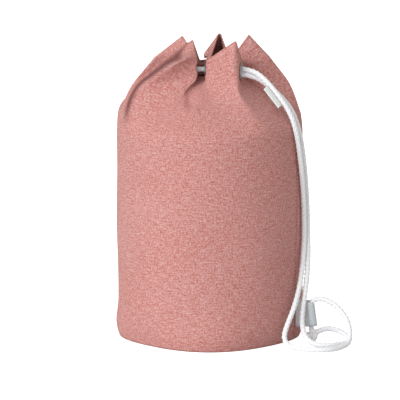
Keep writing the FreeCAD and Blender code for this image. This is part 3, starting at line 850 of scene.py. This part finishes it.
class SACK_OT_base(bpy.types.Operator):
    """Close the sack's foot with a round panel and the tape that binds its seam"""
    bl_idname = "sack.base"
    bl_label = "Base"

    def execute(self, context):
        sizes = context.scene.sack_sizes
        trims = context.scene.trim_sizes
        tones = context.scene.sack_colours
        angles = np.arange(sizes.around) * 2 * math.pi / sizes.around
        heights = np.linspace(0.0004, trims.binding, 12)
        skin = wall(angles, heights)
        outward = np.stack((np.cos(angles), np.sin(angles), angles * 0), axis=1)
        bm = bmesh.new()
        rings = [skin[0] - outward * gap for gap in BASE_RINGS]
        rows = loft(bm, [[Vector(point) for point in ring] for ring in rings])
        bmesh.ops.contextual_create(bm, geom=rows[-1])
        bmesh.ops.recalc_face_normals(bm, faces=bm.faces)
        cloth = woven("base cloth", tuple(tones.warp), 1100.0)
        panel = piece_from(bm, "base_cloth", cloth, "root")
        panel.modifiers.new("thickness", "SOLIDIFY").thickness = sizes.thickness
        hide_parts("base_panel")
        bm = bmesh.new()
        loft(bm, [[Vector(point) for point in row - outward * BASE_TAPE_GAP] for row in skin])
        tape = piece_from(bm, "base_tape", woven("base tape", tuple(c * 0.8 for c in tones.warp)), "root")
        tape.modifiers.new("thickness", "SOLIDIFY").thickness = trims.tape
        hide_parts("base_binding")
        return {"FINISHED"}


class SACK_OT_tab(bpy.types.Operator):
    """Fold the tapered tape tab that stands out of the side seam round the cord"""
    bl_idname = "sack.tab"
    bl_label = "Tab"

    def execute(self, context):
        trims = context.scene.trim_sizes
        tones = context.scene.sack_colours
        seam = math.radians(SEAM_ANGLE)
        radius = context.scene.sack_sizes.radius + TAB_GAP
        root = Vector((math.cos(seam) * radius, math.sin(seam) * radius, 0))
        heading = math.radians(TAB_HEADING)
        ahead = Vector((math.cos(heading), math.sin(heading), 0))
        aside = Vector((-ahead.y, ahead.x, 0))
        rings = []
        for share in np.linspace(0, 1, 9):
            centre = TAB_REACH - TAB_TAPER * share
            lean = math.asin((TAB_BEND - TAB_ROOT) / centre)
            outline = [(0.0, TAB_ROOT)]
            for turn in np.linspace(math.pi / 2 + lean, -math.pi / 2 - lean, 25):
                outline.append((centre + TAB_BEND * math.cos(turn), TAB_BEND * math.sin(turn)))
            outline.append((0.0, -TAB_ROOT))
            ring = []
            for reach, side in outline:
                low = TAB_LOW + TAB_LOW_RISE * reach / centre
                high = TAB_HIGH - TAB_HIGH_DROP * reach / centre
                ring.append(root + ahead * reach + aside * side + Vector((0, 0, low + (high - low) * share)))
            rings.append(ring)
        bm = bmesh.new()
        loft(bm, rings, wrap=False)
        bmesh.ops.recalc_face_normals(bm, faces=bm.faces)
        piece = piece_from(bm, "tape_tab", woven("tab tape", tuple(tones.tape)), "tab")
        thick = piece.modifiers.new("thickness", "SOLIDIFY")
        thick.thickness = trims.tape
        thick.offset = 0
        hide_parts("tab")
        return {"FINISHED"}


class SACK_OT_label(bpy.types.Operator):
    """Hang the flat ribbon label beside the front strand"""
    bl_idname = "sack.label"
    bl_label = "Label"

    def execute(self, context):
        trims = context.scene.trim_sizes
        start, stop = (mm(*place) for place in ROUTE[LABEL_RUN:LABEL_RUN + 2])
        along = (stop - start).normalized()
        flag = (FLAG_WAY - along * FLAG_WAY.dot(along)).normalized()
        middle = (start + stop) / 2
        rings = []
        for reach in np.linspace(FLAG_START, FLAG_STOP, 7):
            line = middle + flag * reach + along.cross(flag) * (FLAG_WAVE * math.sin(reach * 500))
            rings.append([line + along * (place * trims.label_length + FLAG_SLANT * reach)
                          for place in np.linspace(-0.47, 0.47, 20)])
        bm = bmesh.new()
        loft(bm, rings, wrap=False)
        bmesh.ops.recalc_face_normals(bm, faces=bm.faces)
        ribbon = woven("label ribbon", tuple(context.scene.sack_colours.label), 700.0)
        piece = piece_from(bm, "ribbon_label", ribbon, "label")
        thick = piece.modifiers.new("thickness", "SOLIDIFY")
        thick.thickness = FLAG_THICKNESS
        thick.offset = 0
        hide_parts("label")
        return {"FINISHED"}


class SACK_OT_trims(bpy.types.Operator):
    """Give the eyelets, their washers and the side seam's tape their finishes"""
    bl_idname = "sack.trims"
    bl_label = "Trims"

    def execute(self, context):
        tones = context.scene.sack_colours
        metal = nickel("eyelet metal")
        tape = woven("binding tape", tuple(c * 0.8 for c in tones.warp))
        finishes = {"side_seam_tape": (tape, "binding_tape")}
        for number in range(1, len(FACINGS) + 1):
            finishes["eyelet_%d" % number] = (metal, "eyelet_metal")
            finishes["eyelet_washer_%d" % number] = (metal, "washer_metal")
        for name, (material, slot) in finishes.items():
            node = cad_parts[name]
            node.data.materials.clear()
            node.data.materials.append(material)
        return {"FINISHED"}


class SACK_OT_stage(bpy.types.Operator):
    """Set the floor, the lights and the camera"""
    bl_idname = "sack.stage"
    bl_label = "Stage"

    def execute(self, context):
        scene = context.scene
        bm = bmesh.new()
        bmesh.ops.create_grid(bm, x_segments=1, y_segments=1, size=6)
        mesh = bpy.data.meshes.new("floor")
        bm.to_mesh(mesh)
        bm.free()
        mesh.materials.append(plain("studio floor", (0.8, 0.8, 0.8), 1.0, 0.9))
        floor = bpy.data.objects.new("floor", mesh)
        floor.location = (0, 0, -0.0005)
        scene.collection.objects.link(floor)
        world = bpy.data.worlds.new("studio")
        scene.world = world
        world.use_nodes = True
        nodes = world.node_tree.nodes
        links = world.node_tree.links
        background = nodes["Background"]
        seen = nodes.new("ShaderNodeLightPath")
        tint = nodes.new("ShaderNodeMix")
        tint.data_type = "RGBA"
        tint.inputs[6].default_value = ROOM_LIGHT
        tint.inputs[7].default_value = (1, 1, 1, 1)
        links.new(seen.outputs["Is Camera Ray"], tint.inputs[0])
        links.new(tint.outputs[2], background.inputs["Color"])
        for name, place, softness, power, colour in SUNS:
            lamp = bpy.data.lights.new(name, "SUN")
            lamp.angle = math.radians(softness)
            lamp.energy = power
            lamp.color = colour
            holder = bpy.data.objects.new(name, lamp)
            holder.location = place
            holder.rotation_euler = (-Vector(place)).to_track_quat("-Z", "Y").to_euler()
            scene.collection.objects.link(holder)
        camera = bpy.data.cameras.new("camera")
        camera.lens = CAMERA_LENS
        camera.clip_end = 50
        eye = bpy.data.objects.new("camera", camera)
        eye.location = CAMERA_PLACE
        eye.rotation_euler = (CAMERA_AIM - CAMERA_PLACE).to_track_quat("-Z", "Y").to_euler()
        scene.collection.objects.link(eye)
        scene.camera = eye
        scene.view_settings.view_transform = "Standard"
        return {"FINISHED"}


class SACK_PT_panel(bpy.types.Panel):
    """The sack's settings and steps"""
    bl_idname = "SACK_PT_panel"
    bl_label = "Drawstring sack"
    bl_space_type = "VIEW_3D"
    bl_region_type = "UI"
    bl_category = "Sack"

    def draw(self, context):
        for group in SETTINGS:
            box = self.layout.box()
            for key in SETTINGS[group].__annotations__:
                box.prop(getattr(context.scene, group), key)
        for step in STEPS:
            self.layout.operator(step.bl_idname)


SETTINGS = {
    "sack_sizes": SackSizes,
    "cord_sizes": CordSizes,
    "trim_sizes": TrimSizes,
    "sack_colours": SackColours,
}
STEPS = [SACK_OT_cloth, SACK_OT_cord, SACK_OT_base, SACK_OT_tab, SACK_OT_label, SACK_OT_trims, SACK_OT_stage]


def register():
    """Add the settings, steps and panel to this session."""
    for item in [*SETTINGS.values(), *STEPS, SACK_PT_panel]:
        bpy.utils.register_class(item)
    for name, group in SETTINGS.items():
        setattr(bpy.types.Scene, name, bpy.props.PointerProperty(type=group))


def unregister():
    """Take the settings, steps and panel away again."""
    for name in SETTINGS:
        delattr(bpy.types.Scene, name)
    for item in reversed([*SETTINGS.values(), *STEPS, SACK_PT_panel]):
        bpy.utils.unregister_class(item)


def main():
    """Build the sack step by step."""
    register()
    bpy.ops.sack.cloth()
    bpy.ops.sack.cord()
    bpy.ops.sack.base()
    bpy.ops.sack.tab()
    bpy.ops.sack.label()
    bpy.ops.sack.trims()
    bpy.ops.sack.stage()


if __name__ == "__main__":
    main()
